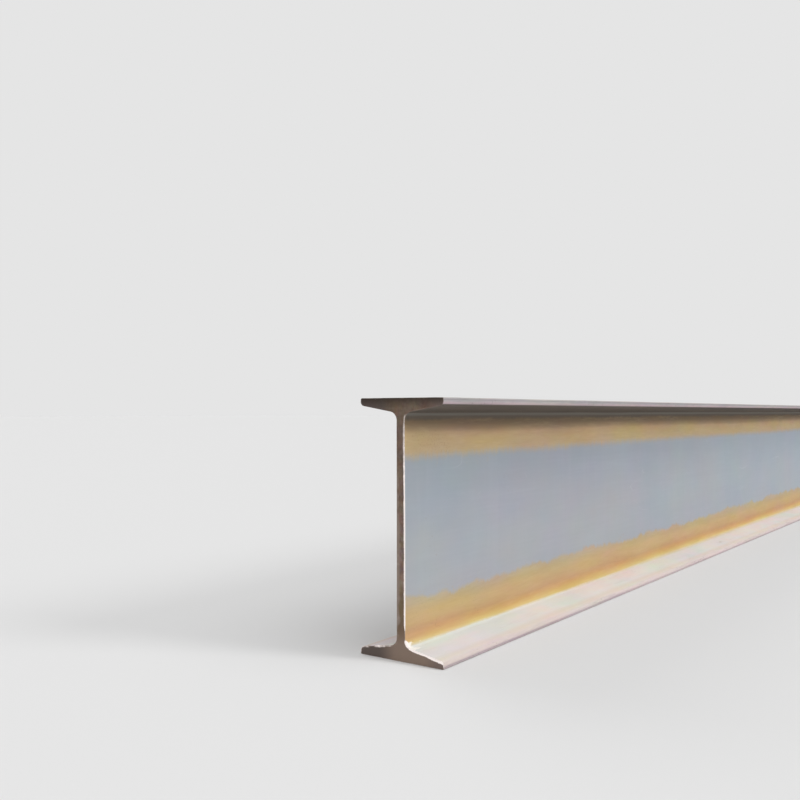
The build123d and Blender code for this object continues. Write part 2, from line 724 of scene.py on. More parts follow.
class Graph:
    """A node tree with short ways to add nodes and join them."""

    def __init__(self, tree: bpy.types.NodeTree) -> None:
        """Takes a material's, a group's or a world's node tree to fill."""
        self.tree = tree

    def node(self, kind: str, **settings: object) -> bpy.types.Node:
        """Adds a node of a kind.

        Args:
            kind: The node's type.
            **settings: Its properties.

        Returns:
            The node.
        """
        made = self.tree.nodes.new(kind)
        for name, value in settings.items():
            setattr(made, name, value)
        return made

    def feed(self, socket: Socket, value: Feed) -> None:
        """Links a socket to another, or sets it to a number or colour.

        Args:
            socket: The socket.
            value: The other socket, the number or the colour.
        """
        if isinstance(value, bpy.types.NodeSocket):
            self.tree.links.new(value, socket)
        elif isinstance(value, tuple) and socket.type == "RGBA":
            socket.default_value = (*value[:3], 1.0)
        else:
            socket.default_value = value

    def result(
        self, kind: str, values: dict[int | str, Feed], output: int | str = 0, **settings: object,
    ) -> Socket:
        """Adds a node, feeds it and returns one of its outputs.

        Args:
            kind: The node's type.
            values: What feeds its inputs, by name or number.
            output: The output's name or number.
            **settings: The node's properties.

        Returns:
            The output.
        """
        made = self.node(kind, **settings)
        for key, value in values.items():
            self.feed(made.inputs[key], value)
        return made.outputs[output]

    def math(self, operation: str, *values: Feed) -> Socket:
        """A Math node's result."""
        return self.result("ShaderNodeMath", dict(enumerate(values)), operation=operation)

    def times(self, first: Feed, second: Feed) -> Socket:
        """One value times another."""
        return self.math("MULTIPLY", first, second)

    def less(self, first: Feed, second: Feed) -> Socket:
        """One value less another."""
        return self.math("SUBTRACT", first, second)

    def size(self, value: Feed) -> Socket:
        """A value without its sign."""
        return self.math("ABSOLUTE", value)

    def shift(self, value: Feed, pattern: Socket, reach: Feed) -> Socket:
        """A value moved to and fro by a pattern that is about 0.5 on average."""
        return self.math("MULTIPLY_ADD", self.less(pattern, 0.5), reach, value)

    def remap(self, value: Feed, low: Feed, high: Feed, smooth: bool = True) -> Socket:
        """Spreads a value between two limits over 0 to 1, clamped.

        Args:
            value: The value.
            low: The limit that gives 0.
            high: The limit that gives 1.
            smooth: Whether it starts and ends gently.

        Returns:
            The share.
        """
        limits = {"Value": value, "From Min": low, "From Max": high}
        kind = "SMOOTHSTEP" if smooth else "LINEAR"
        return self.result("ShaderNodeMapRange", limits, interpolation_type=kind, clamp=True)

    def band(self, value: Feed, half: Feed) -> Socket:
        """Spreads a value over 0 to 1 from as far below 0 as above it."""
        return self.remap(value, self.times(half, -1.0), half)

    def mix(self, share: Feed, first: Feed, second: Feed, **settings: object) -> Socket:
        """A colour mixed from two."""
        values = {0: share, 6: first, 7: second}
        return self.result("ShaderNodeMix", values, 2, data_type="RGBA", clamp_factor=True, **settings)

    def blend(self, share: Feed, first: Feed, second: Feed) -> Socket:
        """A number mixed from two."""
        values = {0: share, 2: first, 3: second}
        return self.result("ShaderNodeMix", values, data_type="FLOAT", clamp_factor=True)

    def stretch(self, vector: Socket, scale: tuple[float, float, float]) -> Socket:
        """A coordinate multiplied along each axis."""
        return self.result("ShaderNodeVectorMath", {0: vector, 1: scale}, operation="MULTIPLY")

    def noise(
        self, vector: Socket, scale: Feed, detail: float, roughness: float, output: str = "Fac",
    ) -> Socket:
        """A noise pattern, about 0.5 on average."""
        values = {"Vector": vector, "Scale": scale, "Detail": detail, "Roughness": roughness}
        return self.result("ShaderNodeTexNoise", values, output, noise_dimensions="3D")

    def ramp(self, value: Socket, stops: Stops) -> Socket:
        """Looks a colour up along a row of stops.

        Args:
            value: Where, 0 to 1.
            stops: The stops' places and colours.

        Returns:
            The colour.
        """
        made = self.node("ShaderNodeValToRGB")
        scale = made.color_ramp
        while len(scale.elements) < len(stops):
            scale.elements.new(1.0)
        for element, (place, colour) in zip(scale.elements, stops):
            element.position = place
            element.color = (*colour, 1.0)
        self.feed(made.inputs[0], value)
        return made.outputs[0]


class Effect(Graph):
    """An effect that several finishes share, as a node group built once.

    Each effect below names its number inputs, with their usual values, and draws its mask.
    """

    INPUTS: dict[str, float] = {}

    def __init__(self) -> None:
        """Makes the group with its sockets and draws its mask."""
        super().__init__(bpy.data.node_groups.new(type(self).__name__, "ShaderNodeTree"))
        sockets = self.tree.interface
        sockets.new_socket(name="Vector", in_out="INPUT", socket_type="NodeSocketVector")
        for name, usual in self.INPUTS.items():
            sockets.new_socket(name=name, in_out="INPUT", socket_type="NodeSocketFloat").default_value = usual
        sockets.new_socket(name="Mask", in_out="OUTPUT", socket_type="NodeSocketFloat")
        self.taken = self.node("NodeGroupInput").outputs
        self.place = self.taken["Vector"]
        self.feed(self.node("NodeGroupOutput").inputs["Mask"], self.mask())

    @classmethod
    @cache
    def shared(cls) -> bpy.types.NodeTree:
        """The node group, built at its first use."""
        return cls().tree

    def mask(self) -> Socket:
        """Draws the effect's mask."""
        raise NotImplementedError


class RaggedEdge(Effect):
    """A band's edge that wanders in lobes, crumbles in lumps and ends in small upright teeth."""

    INPUTS = {"Distance": 0.0, "Lobes": 8.0, "Lobe Reach": 0.03, "Lumps": 45.0, "Lump Reach": 0.01,
              "Teeth": 150.0, "Tooth Reach": 0.006, "Softness": 0.003}

    def mask(self) -> Socket:
        """Draws the band.

        Returns:
            The mask, 1 inside the band.
        """
        moved = self.taken["Distance"]
        for scale, reach, squeeze, detail, roughness in (
            ("Lobes", "Lobe Reach", (1.0, 30.0, 0.45), 2.0, 0.5),
            ("Lumps", "Lump Reach", (1.0, 30.0, 0.8), 3.0, 0.6),
            ("Teeth", "Tooth Reach", (1.0, 1.0, 0.16), 2.0, 0.6),
        ):
            pattern = self.noise(self.stretch(self.place, squeeze), self.taken[scale], detail, roughness)
            moved = self.shift(moved, pattern, self.taken[reach])
        return self.band(moved, self.times(self.taken["Softness"], 0.5))


class Freckles(Effect):
    """Small spots, denser where a cloud gathers them."""

    INPUTS = {"Density": 300.0, "Clouds": 6.0, "Cover": 0.0}

    def mask(self) -> Socket:
        """Draws the spots.

        Returns:
            The mask, 1 on a spot.
        """
        spots = self.noise(self.place, self.taken["Density"], 2.0, 0.7)
        cloud = self.noise(self.place, self.taken["Clouds"], 2.0, 0.5)
        gathered = self.times(self.less(cloud, 0.5), 0.35)
        lifted = self.math("ADD", self.math("ADD", spots, gathered), self.taken["Cover"])
        return self.remap(lifted, 0.66, 0.74)


class Scratches(Effect):
    """Fine broken lines, where a noise pattern crosses its middle value."""

    INPUTS = {"Fineness": 20.0, "Width": 0.01, "Gaps": 0.55}

    def mask(self) -> Socket:
        """Draws the lines.

        Returns:
            The mask, 1 on a line.
        """
        line = self.size(self.less(self.noise(self.place, self.taken["Fineness"], 1.0, 0.4), 0.5))
        thin = self.less(1.0, self.remap(line, 0.0, self.taken["Width"]))
        broken = self.noise(self.place, self.times(self.taken["Fineness"], 0.6), 3.0, 0.6)
        kept = self.remap(broken, self.taken["Gaps"], self.math("ADD", self.taken["Gaps"], 0.08))
        return self.times(thin, kept)


class Streaks(Effect):
    """Soft streaks: noise of two sizes."""

    INPUTS = {"Size": 10.0, "Fine Share": 0.3}

    def mask(self) -> Socket:
        """Draws the streaks.

        Returns:
            The pattern, about 0.5 on average.
        """
        coarse = self.noise(self.place, self.taken["Size"], 3.0, 0.6)
        fine = self.noise(self.place, self.times(self.taken["Size"], 5.0), 2.0, 0.6)
        return self.blend(self.taken["Fine Share"], coarse, fine)


class BurrEdge(Effect):
    """The burr's outline, crumbled where it is thin, soft where it is dull and fading out where it ends."""

    INPUTS = {"Burr": 0.0, "Bare": 1.0}

    def mask(self) -> Socket:
        """Draws the outline.

        Returns:
            The mask, 1 on the burr.
        """
        crumbs = self.noise(self.place, 650.0, 2.0, 0.6)
        soft = self.blend(self.remap(self.taken["Bare"], 0.3, 0.8), 0.5, 0.12)
        outline = self.band(self.shift(self.taken["Burr"], crumbs, 0.5), soft)
        return self.times(outline, self.remap(self.taken["Bare"], 0.02, 0.2))


class BurrShine(Effect):
    """How bright the burr is, in patches."""

    INPUTS = {"Bare": 1.0}

    def mask(self) -> Socket:
        """Draws the brightness.

        Returns:
            The mask, 1 where the burr is brightest.
        """
        patches = self.noise(self.place, 130.0, 3.0, 0.6)
        shown = self.times(self.math("MULTIPLY_ADD", patches, 0.8, 0.6), self.taken["Bare"])
        return self.remap(shown, 0.25, 0.75)


class Coat(Graph):
    """A material in the making, and what its patterns read of the beam."""

    def __init__(self, name: str, roughness: float, length: float = 0.0) -> None:
        """Makes the material with one Principled shader.

        Args:
            name: The material's name.
            roughness: The shader's plain roughness.
            length: The beam's, for patterns that change away from its cuts.
        """
        self.material = bpy.data.materials.new(name)
        self.material.use_nodes = True
        super().__init__(self.material.node_tree)
        self.tree.nodes.clear()
        self.length = length
        self.shader = self.node("ShaderNodeBsdfPrincipled")
        self.feed(self.shader.inputs["Roughness"], roughness)
        self.feed(self.node("ShaderNodeOutputMaterial").inputs["Surface"], self.shader.outputs["BSDF"])

    @cached_property
    def place(self) -> Socket:
        """Object coordinates."""
        return self.node("ShaderNodeTexCoord").outputs["Object"]

    @cached_property
    def axes(self) -> bpy.types.NodeOutputs:
        """Takes Object coordinates apart.

        Returns:
            The outputs X, Y and Z.
        """
        parts = self.node("ShaderNodeSeparateXYZ")
        self.feed(parts.inputs[0], self.place)
        return parts.outputs

    @cached_property
    def girth(self) -> Socket:
        """The distance round the section from mid web, less than 0 towards the upper flange."""
        return self.attribute(GIRTH)

    @cached_property
    def back(self) -> Socket:
        """The distance from the nearer cut."""
        return self.less(self.length / 2, self.size(self.axes["X"]))

    def attribute(self, name: str) -> Socket:
        """A number that the mesh stores on its vertices."""
        return self.result("ShaderNodeAttribute", {}, "Fac", attribute_type="GEOMETRY", attribute_name=name)

    def at(self, along: float = 1.0, across: float = 1.0, up: float = 1.0) -> Socket:
        """Object coordinates multiplied along each axis, which draws a pattern out or squeezes it."""
        return self.stretch(self.place, (along, across, up))

    def group(self, effect: type[Effect], **values: Feed) -> Socket:
        """Places a shared effect, on Object coordinates unless a Vector is given.

        Args:
            effect: The effect.
            **values: Its inputs, with underscores for spaces.

        Returns:
            Its mask.
        """
        named = {name.replace("_", " "): value for name, value in values.items()}
        return self.result("ShaderNodeGroup", {"Vector": self.place, **named}, node_tree=effect.shared())

    def relief(self, height: Feed, distance: float) -> None:
        """Feeds a height through a Bump node into the shader's normal.

        Args:
            height: The height, 0 to 1.
            distance: What a height of 1 stands for, in metres.
        """
        values = {"Strength": 1.0, "Distance": distance, "Height": height}
        self.feed(self.shader.inputs["Normal"], self.result("ShaderNodeBump", values, "Normal"))


@dataclass
class Paint:
    """A colour that is mixed in steps.

    Attributes:
        coat: The material in the making.
        tone: The colour so far.
    """

    coat: Coat
    tone: Feed

    def lay(self, colour: Feed, mask: Socket, share: Feed = 1.0) -> None:
        """Lays another colour over it, by a mask and a share."""
        self.tone = self.coat.mix(self.coat.times(mask, share), self.tone, colour)

    def shade(self, pattern: Socket, strength: Feed, dark: Colour, light: Colour) -> None:
        """Draws it towards a dark and a light colour as a pattern falls below or rises above 0.5.

        Args:
            pattern: The pattern, about 0.5 on average.
            strength: The most that either colour takes.
            dark: Where the pattern is low.
            light: Where it is high.
        """
        for colour, end in ((dark, 0.3), (light, 0.7)):
            self.lay(colour, self.coat.remap(pattern, 0.5, end, smooth=False), strength)

    def tint(self, vector: Socket, scale: float, strength: Feed) -> None:
        """Lets its red, green and blue each drift a little, in soft clouds.

        Args:
            vector: Where, stretched as the clouds are.
            scale: The clouds' noise scale.
            strength: The most that a channel drifts.
        """
        clouds = self.coat.noise(vector, scale, 3.0, 0.6, "Color")
        self.tone = self.coat.mix(strength, self.tone, clouds, blend_type="LINEAR_LIGHT")


@dataclass(frozen=True)
class BurrMetal:
    """Metal that the saw smeared over a cut's edge: nearly white where it is clean, beige elsewhere."""

    bright: Colour = linear(253, 243, 239)
    dull: Colour = linear(130, 116, 106)

    def over(self, paint: Paint) -> None:
        """Lays the burr over a finish's colour, on a mesh that stores where it is, and feeds the shader.

        Args:
            paint: The finish's colour.
        """
        coat = paint.coat
        burr, bare = coat.attribute(BURR), coat.attribute(BARE)
        metal = coat.mix(coat.group(BurrShine, Bare=bare), self.dull, self.bright)
        paint.lay(metal, coat.group(BurrEdge, Burr=burr, Bare=bare))
        coat.feed(coat.shader.inputs["Base Color"], paint.tone)


@dataclass(frozen=True)
class Layer:
    """One layer of the rolled skin, which draws its mask and its colour.

    The numbers that its girths and distances from a cut are compared with are in metres.

    Attributes:
        coat: The skin's material in the making.
        section: The rolled section.
    """

    coat: Coat
    section: Section


@dataclass(frozen=True)
class MillScale(Layer):
    """Mill scale: smooth blue-grey, darker and cooler towards the top as painted shade under the upper
    flange, with faint lay and fine scratches.
    """

    cool: Colour = linear(161, 168, 176)
    plain: Colour = linear(165, 169, 176)
    warm: Colour = linear(167, 169, 174)
    # upper: the blue-grey darkened as painted shade under the upper flange.
    upper: Colour = linear(135, 146, 159)
    far: Colour = linear(158, 176, 192)
    dark: Colour = linear(128, 134, 140)
    light: Colour = linear(205, 208, 212)

    def colour(self) -> Socket:
        """Draws the scale, which lies under all other layers.

        Returns:
            The colour.
        """
        coat = self.coat
        clouds = coat.noise(coat.at(up=2.2), 3.2, 4.0, 0.55)
        paint = Paint(coat, coat.ramp(clouds, ((0.34, self.cool), (0.5, self.plain), (0.66, self.warm))))
        # Painted shade: the web darkens towards the upper flange.
        paint.lay(self.upper, coat.remap(coat.girth, 0.04, -0.1), 0.42)
        lay = coat.group(Streaks, Vector=coat.at(along=0.05), Size=36.0, Fine_Share=0.5)
        paint.shade(lay, 0.06, self.dark, self.light)
        upright = coat.group(Streaks, Vector=coat.at(up=0.08), Size=26.0, Fine_Share=0.4)
        paint.shade(upright, 0.04, self.dark, self.light)
        paint.tint(coat.at(along=0.7), 9.0, 0.035)
        paint.lay(self.far, coat.remap(coat.back, 0.4, 2.4), 0.28)
        lines = coat.group(Scratches, Vector=coat.at(along=0.3), Fineness=22.0, Width=0.005, Gaps=0.56)
        paint.lay(self.light, lines, 0.28)
        paint.lay(RUST_FLECK, coat.group(Freckles, Density=380.0, Clouds=9.0, Cover=-0.06), 0.4)
        return paint.tone


@dataclass(frozen=True)
class RustBands(Layer):
    """Rust by both flanges: ochre with orange and yellow streaks along the beam, ragged towards the scale,
    and darkened under the upper flange as painted shade.
    """

    deep: Colour = linear(166, 124, 80)
    pale: Colour = linear(222, 200, 156)
    pink: Colour = linear(200, 160, 130)
    gold: Colour = linear(192, 163, 102)
    upper_edge: float = -0.0990
    lower_edge: float = 0.0994

    # Colours across the bands, as girth and colour, and the span of girths that they are spread over.
    TONES = (
        # The first four stops, by the upper root, are the rust's brown darkened as painted shade under the
        # upper flange.
        (-0.170, linear(100, 88, 76)),
        (-0.152, linear(120, 102, 80)),
        (-0.142, linear(134, 114, 90)),
        (-0.134, linear(156, 132, 103)),
        (-0.128, linear(182, 154, 119)),
        (-0.118, linear(187, 162, 122)),
        (-0.100, linear(186, 165, 132)),
        (0.092, linear(180, 168, 148)),
        (0.104, linear(183, 167, 140)),
        (0.112, linear(188, 166, 127)),
        (0.122, linear(197, 169, 122)),
        (0.132, linear(197, 165, 119)),
        (0.140, linear(195, 156, 113)),
        (0.1465, linear(204, 160, 107)),
        (0.1525, linear(208, 173, 109)),
        (0.1575, linear(214, 192, 125)),
        (0.163, linear(214, 203, 165)),
    )
    SPAN = 0.34

    @cached_property
    def mask(self) -> Socket:
        """Draws where the bands lie, and stray specks past their edges.

        Returns:
            The mask.
        """
        coat = self.coat
        upper = coat.group(
            RaggedEdge, Distance=coat.less(self.upper_edge, coat.girth), Lobes=4.0, Lobe_Reach=0.008,
            Lumps=30.0, Lump_Reach=0.006, Teeth=150.0, Tooth_Reach=0.012, Softness=0.018,
        )
        near_cut = coat.remap(coat.back, 0.13, 0.0, smooth=False)
        below = coat.math("MULTIPLY_ADD", near_cut, 0.009, coat.less(coat.girth, self.lower_edge))
        lower = coat.group(
            RaggedEdge, Distance=below, Lobes=9.0, Lobe_Reach=0.032,
            Lumps=32.0, Lump_Reach=0.021, Teeth=170.0, Tooth_Reach=0.006, Softness=0.009,
        )
        specks = coat.group(Freckles, Density=160.0, Clouds=14.0, Cover=0.03)
        strays = coat.times(coat.times(specks, coat.remap(coat.size(coat.girth), 0.078, 0.098)), 0.6)
        return coat.math("MAXIMUM", coat.math("MAXIMUM", upper, lower), strays)

    def colour(self) -> Socket:
        """Draws the rust.

        Returns:
            The colour.
        """
        coat = self.coat
        moved = coat.shift(coat.girth, coat.noise(coat.at(0.25, 30.0), 8.0, 3.0, 0.55), 0.012)
        moved = coat.math("MULTIPLY_ADD", coat.remap(coat.back, 0.35, 0.05), 0.0022, moved)
        spread = coat.math("DIVIDE", coat.math("ADD", moved, self.SPAN / 2), self.SPAN)
        stops = tuple((girth / self.SPAN + 0.5, colour) for girth, colour in self.TONES)
        paint = Paint(coat, coat.ramp(spread, stops))
        lit = coat.remap(coat.girth, -0.145, -0.125)
        patches = coat.noise(coat.at(along=0.3, up=1.5), 16.0, 4.0, 0.6)
        paint.shade(patches, coat.times(lit, 0.4), self.pink, self.gold)
        lay = coat.group(Streaks, Vector=coat.at(along=0.10), Size=60.0, Fine_Share=0.45)
        paint.shade(lay, 0.16, self.deep, self.pale)
        paint.tint(coat.at(along=0.5, up=1.3), 14.0, coat.math("MULTIPLY_ADD", lit, 0.035, 0.015))
        cover = coat.times(coat.remap(coat.back, 0.4, 0.05), 0.04)
        paint.lay(RUST_FLECK, coat.group(Freckles, Density=420.0, Clouds=12.0, Cover=cover), 0.3)
        return paint.tone


@dataclass(frozen=True)
class Underside(Layer):
    """The upper flange's inner face: brown darkened as painted shade under the flange, more so towards the
    root and towards the toe far from the cut, with a grey line of scale along the root.
    """

    # All these colours are darkened as painted shade under the flange.
    dark: Colour = linear(86, 78, 70)
    light: Colour = linear(104, 95, 87)
    painted_shade_by_web: Colour = linear(78, 70, 61)
    far: Colour = linear(70, 66, 66)
    root: Colour = linear(100, 90, 79)
    line: Colour = linear(114, 111, 104)
    edge: float = -0.150
    line_place: float = 0.1578

    @cached_property
    def mask(self) -> Socket:
        """Draws where it lies, from the root rounding on.

        Returns:
            The mask.
        """
        return self.coat.group(
            RaggedEdge, Distance=self.coat.less(self.edge, self.coat.girth), Lobes=9.0, Lobe_Reach=0.006,
            Lumps=50.0, Lump_Reach=0.003, Teeth=120.0, Tooth_Reach=0.003, Softness=0.006,
        )

    def colour(self) -> Socket:
        """Draws the brown and the line.

        Returns:
            The colour.
        """
        coat = self.coat
        lay = coat.group(Streaks, Vector=coat.at(along=0.08), Size=30.0, Fine_Share=0.4)
        paint = Paint(coat, coat.mix(coat.remap(lay, 0.35, 0.65, smooth=False), self.dark, self.light))
        paint.lay(RUST_FLECK, coat.group(Freckles, Density=220.0, Clouds=10.0, Cover=0.03), 0.3)
        # Painted shade, deeper towards the root.
        paint.lay(self.painted_shade_by_web, coat.remap(coat.girth, -0.205, -0.165), 0.7)
        # Painted shade towards the toe, far from the cut.
        shaded = coat.times(coat.remap(coat.girth, -0.178, -0.200), coat.remap(coat.back, 0.6, 1.5))
        paint.lay(self.far, shaded, 0.5)
        paint.lay(self.root, coat.remap(coat.girth, -0.164, -0.155), 0.85)
        off_line = coat.size(coat.math("ADD", coat.shift(coat.girth, lay, 0.006), self.line_place))
        paint.lay(self.line, coat.remap(off_line, 0.0044, 0.0010), 0.75)
        return paint.tone


@dataclass(frozen=True)
class Dust(Layer):
    """Dust on the lower flange: pale, pinkish, greenish and smudged in patches, and warm by the toe."""

    pink: Colour = linear(231, 220, 215)
    green: Colour = linear(222, 222, 215)
    cool: Colour = linear(218, 222, 222)
    lilac: Colour = linear(228, 213, 218)
    toe: Colour = linear(225, 211, 198)
    worn: Colour = linear(188, 176, 162)
    edge: float = 0.1597
    far_edge: float = 0.1636

    @cached_property
    def mask(self) -> Socket:
        """Draws where it lies, from the root rounding on, with a softer edge away from the cut.

        Returns:
            The mask.
        """
        coat = self.coat
        inwards = coat.remap(coat.back, 0.1, 1.2)
        distance = coat.less(coat.girth, coat.blend(inwards, self.edge, self.far_edge))
        return coat.group(
            RaggedEdge, Distance=distance, Lobes=14.0, Lobe_Reach=0.004, Lumps=60.0, Lump_Reach=0.003,
            Teeth=200.0, Tooth_Reach=0.002, Softness=coat.blend(inwards, 0.005, 0.014),
        )

    def colour(self) -> Socket:
        """Draws the dust.

        Returns:
            The colour.
        """
        coat, girth = self.coat, self.coat.girth
        patches = coat.noise(coat.at(0.7, 1.6), 11.0, 4.0, 0.6)
        paint = Paint(coat, coat.ramp(patches, ((0.36, self.green), (0.5, DUST), (0.64, self.pink))))
        middle, near_cut = coat.remap(girth, 0.170, 0.184), coat.remap(coat.back, 0.18, 0.05)
        paint.lay(self.lilac, coat.times(middle, near_cut), 0.5)
        by_root, near_cut = coat.remap(girth, 0.182, 0.169), coat.remap(coat.back, 0.5, 0.1)
        paint.lay(self.cool, coat.times(by_root, near_cut), 0.65)
        paint.lay(self.toe, coat.remap(girth, 0.198, 0.212), 0.85)
        paint.lay(TIP_PALE, coat.remap(girth, 0.213, 0.219))
        paint.tint(coat.at(along=0.6), 14.0, 0.08)
        lay = coat.group(Streaks, Vector=coat.at(along=0.10), Size=80.0, Fine_Share=0.35)
        paint.lay(self.worn, coat.remap(lay, 0.48, 0.3), 0.16)
        smudge = coat.noise(coat.at(along=0.4), 30.0, 4.0, 0.6)
        paint.lay(self.worn, coat.remap(smudge, 0.63, 0.74), 0.5)
        paint.lay(self.worn, coat.group(Freckles, Density=260.0, Clouds=9.0, Cover=-0.02), 0.35)
        return paint.tone


@dataclass(frozen=True)
class Filings(Layer):
    """Pale filings from the saw, stuck along the lower root, densest at the cut."""

    pale: Colour = linear(246, 243, 236)
    root_girth: float = 0.1635
    cover: float = 0.85

    @cached_property
    def mask(self) -> Socket:
        """Draws where they lie.

        Returns:
            The mask.
        """
        coat = self.coat
        near_cut = coat.remap(coat.back, 0.050, 0.0, smooth=False)
        off_root = coat.size(coat.less(coat.girth, self.root_girth))
        near = coat.times(near_cut, coat.remap(off_root, 0.012, 0.003))
        crumbs = coat.noise(coat.at(along=0.5), 110.0, 4.0, 0.65)
        stuck = coat.remap(coat.math("MULTIPLY_ADD", near, 0.32, crumbs), 0.64, 0.76)
        return coat.times(coat.times(stuck, coat.remap(near, 0.0, 0.2)), self.cover)

    def colour(self) -> Colour:
        """Their plain colour."""
        return self.pale


@dataclass(frozen=True)
class Tips(Layer):
    """The flange tips: lilac-grey, paler at the toe, with the seam along the middle darkened as painted shade
    in its groove.
    """

    lilac: Colour = linear(186, 169, 173)
    clean: Colour = linear(219, 203, 203)
    dark: Colour = linear(132, 122, 124)
    upper: Colour = linear(165, 160, 162)

    @cached_property
    def mask(self) -> Socket:
        """Draws where they lie, from inside the toe rounding on."""
        edge = self.section.tip_girth(self.section.toe_height) - 4.3 * MM
        return self.coat.remap(self.coat.size(self.coat.girth), edge - 1.2 * MM, edge + 1.2 * MM)

    def colour(self) -> Socket:
        """Draws the tips, cleaner on the lower one away from the cut.

        Returns:
            The colour.
        """
        coat, size = self.coat, self.coat.size(self.coat.girth)
        toe = self.section.tip_girth(self.section.toe_height)
        seam = self.section.tip_girth(self.section.seam_height)
        lower = Paint(coat, TIP_PALE)
        lower.lay(self.lilac, coat.remap(size, toe - 1.2 * MM, toe + 2.6 * MM))
        lower.lay(self.clean, coat.remap(coat.back, 0.02, 0.9), 0.55)
        paint = Paint(coat, self.lilac)
        paint.lay(self.upper, coat.remap(size, toe - 2.5 * MM, toe + 1.5 * MM))
        paint.lay(lower.tone, coat.remap(coat.girth, -0.1, 0.1))
        paint.tint(coat.at(along=0.6), 21.0, 0.045)
        lay = coat.group(Streaks, Vector=coat.at(along=0.1), Size=60.0, Fine_Share=0.4)
        paint.shade(lay, 0.3, self.dark, TIP_PALE)
        # Painted shade in the seam's groove.
        off_seam = coat.size(coat.less(coat.shift(size, lay, 0.0012), seam))
        paint.lay(self.dark, coat.remap(off_seam, 0.0009, 0.0002), 0.35)
        paint.lay(SCUFF, coat.group(Freckles, Density=200.0, Clouds=9.0, Cover=0.02), 0.4)
        return paint.tone


@dataclass(frozen=True)
class OuterFaces(Layer):
    """The outer faces: weathered pale grey with dust, rust stains, dark scuffs and scratches."""

    green: Colour = linear(176, 178, 168)
    grey: Colour = linear(194, 190, 180)
    pink: Colour = linear(204, 192, 182)
    rust: Colour = linear(188, 169, 146)

    @cached_property
    def mask(self) -> Socket:
        """Draws where they lie, from inside the corner rounding on."""
        edge = self.section.tip_girth(self.section.corner_radius) + 1.6 * MM
        return self.coat.remap(self.coat.size(self.coat.girth), edge - 0.8 * MM, edge + 0.8 * MM)

    def colour(self) -> Socket:
        """Draws the weathering.

        Returns:
            The colour.
        """
        coat = self.coat
        patches = coat.noise(coat.at(along=0.6), 9.0, 5.0, 0.62)
        stops = ((0.34, self.green), (0.46, self.grey), (0.56, self.pink), (0.72, self.rust))
        paint = Paint(coat, coat.ramp(patches, stops))
        lay = coat.group(Streaks, Vector=coat.at(along=0.05), Size=45.0, Fine_Share=0.4)
        paint.shade(lay, 0.25, SCUFF, DUST)
        paint.tint(coat.place, 12.0, 0.05)
        wipe = coat.group(Streaks, Vector=coat.at(along=0.3), Size=16.0, Fine_Share=0.3)
        paint.lay(SCUFF, coat.remap(wipe, 0.56, 0.68), 0.5)
        lines = coat.group(Scratches, Vector=coat.at(along=0.3), Fineness=36.0, Width=0.010, Gaps=0.54)
        paint.lay(DUST, lines, 0.4)
        return paint.tone


@dataclass(frozen=True)
class RolledSkin:
    """The rolled faces: scale on the web, rust bands by the flanges, and dust, wear and weather on these.

    Attributes:
        section: The rolled section.
        length: The beam's.
        roughness: Of rust and dust.
        sheen: Roughness of the scale, from its smoothest grain to its roughest.
    """

    section: Section
    length: float
    roughness: float = 0.86
    sheen: tuple[float, float] = (0.44, 0.62)

    def material(self) -> bpy.types.Material:
        """Builds the finish.

        Returns:
            The material.
        """
        coat = Coat("rolled_skin", self.roughness, self.length)
        paint = Paint(coat, MillScale(coat, self.section).colour())
        kinds = (RustBands, Underside, Dust, Filings, Tips, OuterFaces)
        layers = [kind(coat, self.section) for kind in kinds]
        for layer in layers:
            paint.lay(layer.colour(), layer.mask)
        BurrMetal().over(paint)
        rust = layers[0].mask
        grain = coat.noise(coat.place, 900.0, 3.0, 0.6)
        flake = coat.noise(coat.place, 120.0, 5.0, 0.7)
        rough = coat.blend(rust, coat.blend(grain, *self.sheen), self.roughness)
        coat.feed(coat.shader.inputs["Roughness"], rough)
        coat.relief(coat.blend(coat.blend(rust, 0.35, 0.7), flake, grain), 0.2 * MM)
        return coat.material


